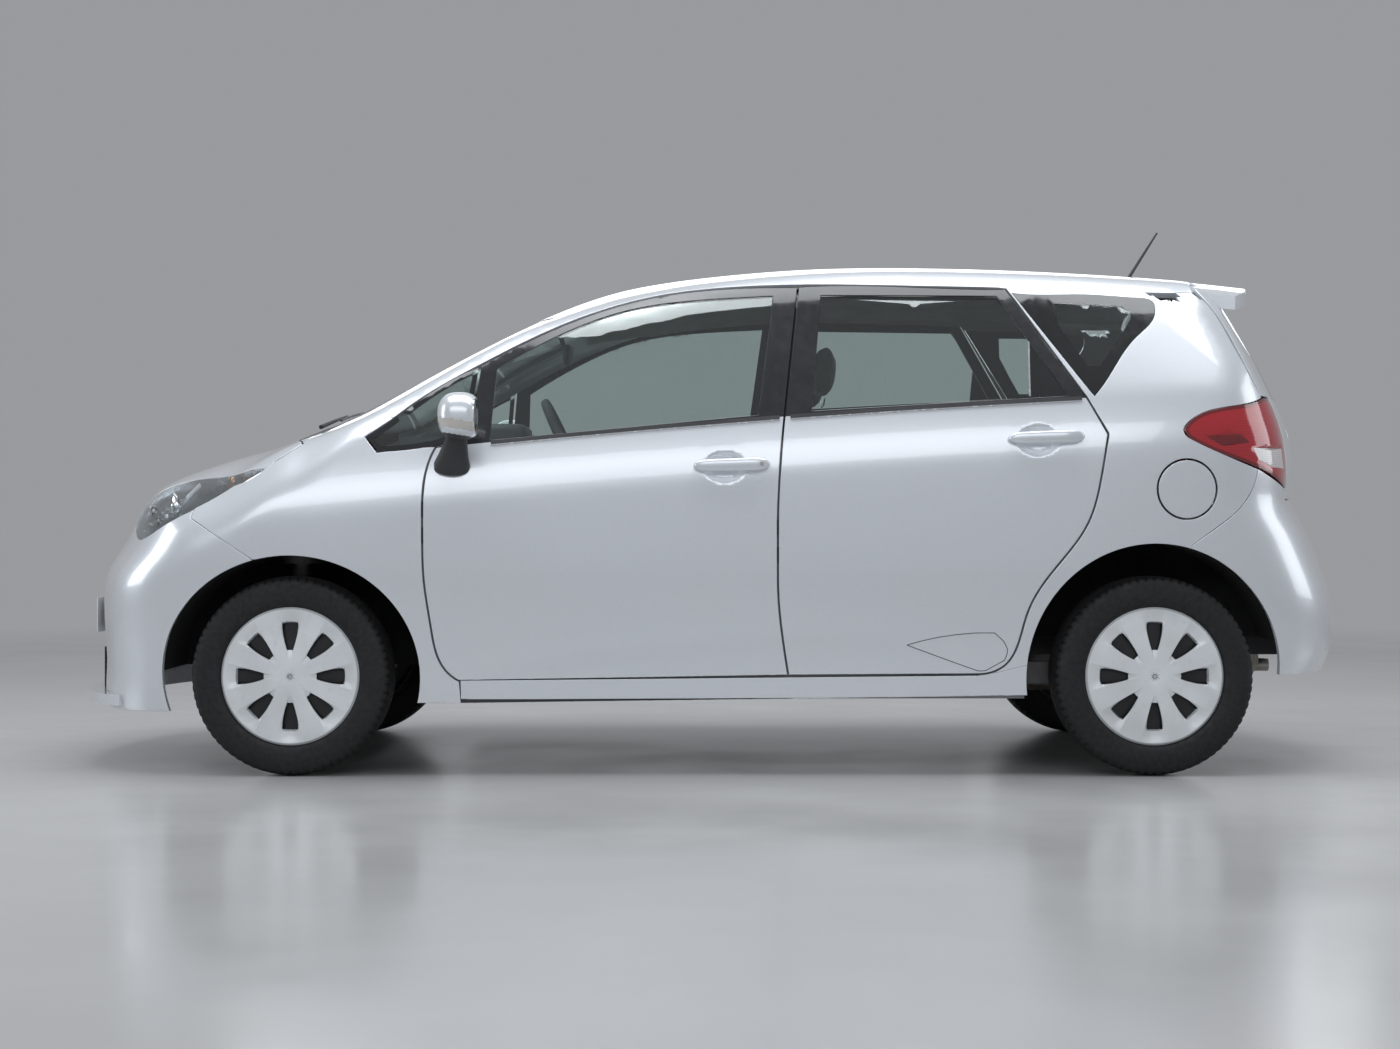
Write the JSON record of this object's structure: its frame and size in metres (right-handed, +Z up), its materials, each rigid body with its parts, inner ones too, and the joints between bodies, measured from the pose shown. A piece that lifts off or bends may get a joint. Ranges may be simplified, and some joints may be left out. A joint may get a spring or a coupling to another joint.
{
  "type": "compact minivan",
  "caption": "Compact minivan with hinged doors, hood, tailgate and fuel lid, coupled steering and turning wheels.",
  "frame": {"origin": "on the ground, half way along and across the car", "axes": "-X to the front, -Y to the left side, +Z up"},
  "size_m": [3.9806, 2.026, 1.7045],
  "materials": {
    "paint": "pearl metallic paint, gloss",
    "under_metal": "matte underseal",
    "black_plastic": "fine grained",
    "trim_plastic": "soft grained",
    "cover_plastic": "silver painted",
    "lamp_clear": "clear lens",
    "lamp_red": "red lens",
    "glass": "tinted glass",
    "cast_metal": "cast",
    "aluminium": "cast and machined",
    "exhaust_metal": "stained steel",
    "tyre": "matte rubber",
    "fabric": "woven"
  },
  "bodies": {
    "car_body": {"underbody": "under_metal", "body_side_left": "paint", "body_side_right": "paint", "roof_panel": "paint", "fenders": "paint", "front_bumper": "paint", "rear_bumper": "paint", "windscreen": "glass", "fixed_side_glass": "glass", "cowl": "black_plastic", "grille": "black_plastic", "headlamps": "lamp_clear", "tail_lamps": "lamp_red", "wheel_liners": "black_plastic", "engine": "aluminium", "front_suspension": "cast_metal", "rear_axle": "cast_metal", "exhaust": "exhaust_metal", "dashboard": "trim_plastic", "front_seats": "fabric", "rear_seat": "fabric", "antenna": "black_plastic"},
    "hood": {"hood": "paint"},
    "tailgate": {"tailgate": "paint", "tailgate_glass": "glass"},
    "fuel_lid": {"fuel_lid": "paint"},
    "steering_wheel": {"steering_wheel": "trim_plastic"},
    "front_door_left": {"front_door_left": "paint", "front_door_glass_left": "glass"},
    "rear_door_left": {"rear_door_left": "paint", "rear_door_glass_left": "glass"},
    "knuckle_left": {"knuckle_left": "cast_metal"},
    "front_wheel_left": {"front_wheel_left": "cover_plastic", "front_tyre_left": "tyre"},
    "rear_wheel_left": {"rear_wheel_left": "cover_plastic", "rear_tyre_left": "tyre"},
    "front_door_right": {"front_door_right": "paint", "front_door_glass_right": "glass"},
    "rear_door_right": {"rear_door_right": "paint", "rear_door_glass_right": "glass"},
    "knuckle_right": {"knuckle_right": "cast_metal"},
    "front_wheel_right": {"front_wheel_right": "cover_plastic", "front_tyre_right": "tyre"},
    "rear_wheel_right": {"rear_wheel_right": "cover_plastic", "rear_tyre_right": "tyre"}
  },
  "joints": [
    {"name": "front_door_left_hinge", "type": "hinge", "parent": "car_body", "child": "front_door_left", "pos_m": [-0.851, -0.8448, 0.742], "axis": [0, 0, -1], "range_deg": [0, 66]},
    {"name": "front_door_right_hinge", "type": "hinge", "parent": "car_body", "child": "front_door_right", "pos_m": [-0.851, 0.8448, 0.742], "axis": [0, 0, 1], "range_deg": [0, 66]},
    {"name": "rear_door_left_hinge", "type": "hinge", "parent": "car_body", "child": "rear_door_left", "pos_m": [0.194, -0.8448, 0.68], "axis": [0, 0, -1], "range_deg": [0, 66]},
    {"name": "rear_door_right_hinge", "type": "hinge", "parent": "car_body", "child": "rear_door_right", "pos_m": [0.194, 0.8448, 0.68], "axis": [0, 0, 1], "range_deg": [0, 66]},
    {"name": "hood_hinge", "type": "hinge", "parent": "car_body", "child": "hood", "pos_m": [-1.225, 0, 0.98355], "axis": [0, 1, 0], "range_deg": [0, 55]},
    {"name": "tailgate_hinge", "type": "hinge", "parent": "car_body", "child": "tailgate", "pos_m": [1.463, 0, 1.52527], "axis": [0, -1, 0], "range_deg": [0, 80]},
    {"name": "fuel_lid_hinge", "type": "hinge", "parent": "car_body", "child": "fuel_lid", "pos_m": [1.31, -0.8404, 0.847], "axis": [0, 0, -1], "range_deg": [0, 80]},
    {"name": "knuckle_left_steer", "type": "hinge", "parent": "car_body", "child": "knuckle_left", "pos_m": [-1.244, -0.595, 0.295], "axis": [0, 0, 1], "range_deg": [-35, 35]},
    {"name": "knuckle_right_steer", "type": "hinge", "parent": "car_body", "child": "knuckle_right", "pos_m": [-1.244, 0.595, 0.295], "axis": [0, 0, 1], "range_deg": [-35, 35]},
    {"name": "steering_wheel_spin", "type": "hinge", "parent": "car_body", "child": "steering_wheel", "pos_m": [-0.44, -0.37, 0.955], "axis": [0.9063, 0, 0.4226], "range_deg": [-540, 540]},
    {"name": "front_wheel_left_spin", "type": "hinge", "parent": "knuckle_left", "child": "front_wheel_left", "pos_m": [-1.244, -0.735, 0.295], "axis": [0, 1, 0], "continuous": true},
    {"name": "rear_wheel_left_spin", "type": "hinge", "parent": "car_body", "child": "rear_wheel_left", "pos_m": [1.306, -0.735, 0.295], "axis": [0, 1, 0], "continuous": true},
    {"name": "front_wheel_right_spin", "type": "hinge", "parent": "knuckle_right", "child": "front_wheel_right", "pos_m": [-1.244, 0.735, 0.295], "axis": [0, 1, 0], "continuous": true},
    {"name": "rear_wheel_right_spin", "type": "hinge", "parent": "car_body", "child": "rear_wheel_right", "pos_m": [1.306, 0.735, 0.295], "axis": [0, 1, 0], "continuous": true}
  ],
  "couplings": [
    {"joint": "knuckle_right_steer", "follows": "knuckle_left_steer", "ratio": 1},
    {"joint": "steering_wheel_spin", "follows": "knuckle_left_steer", "ratio": 15}
  ]
}
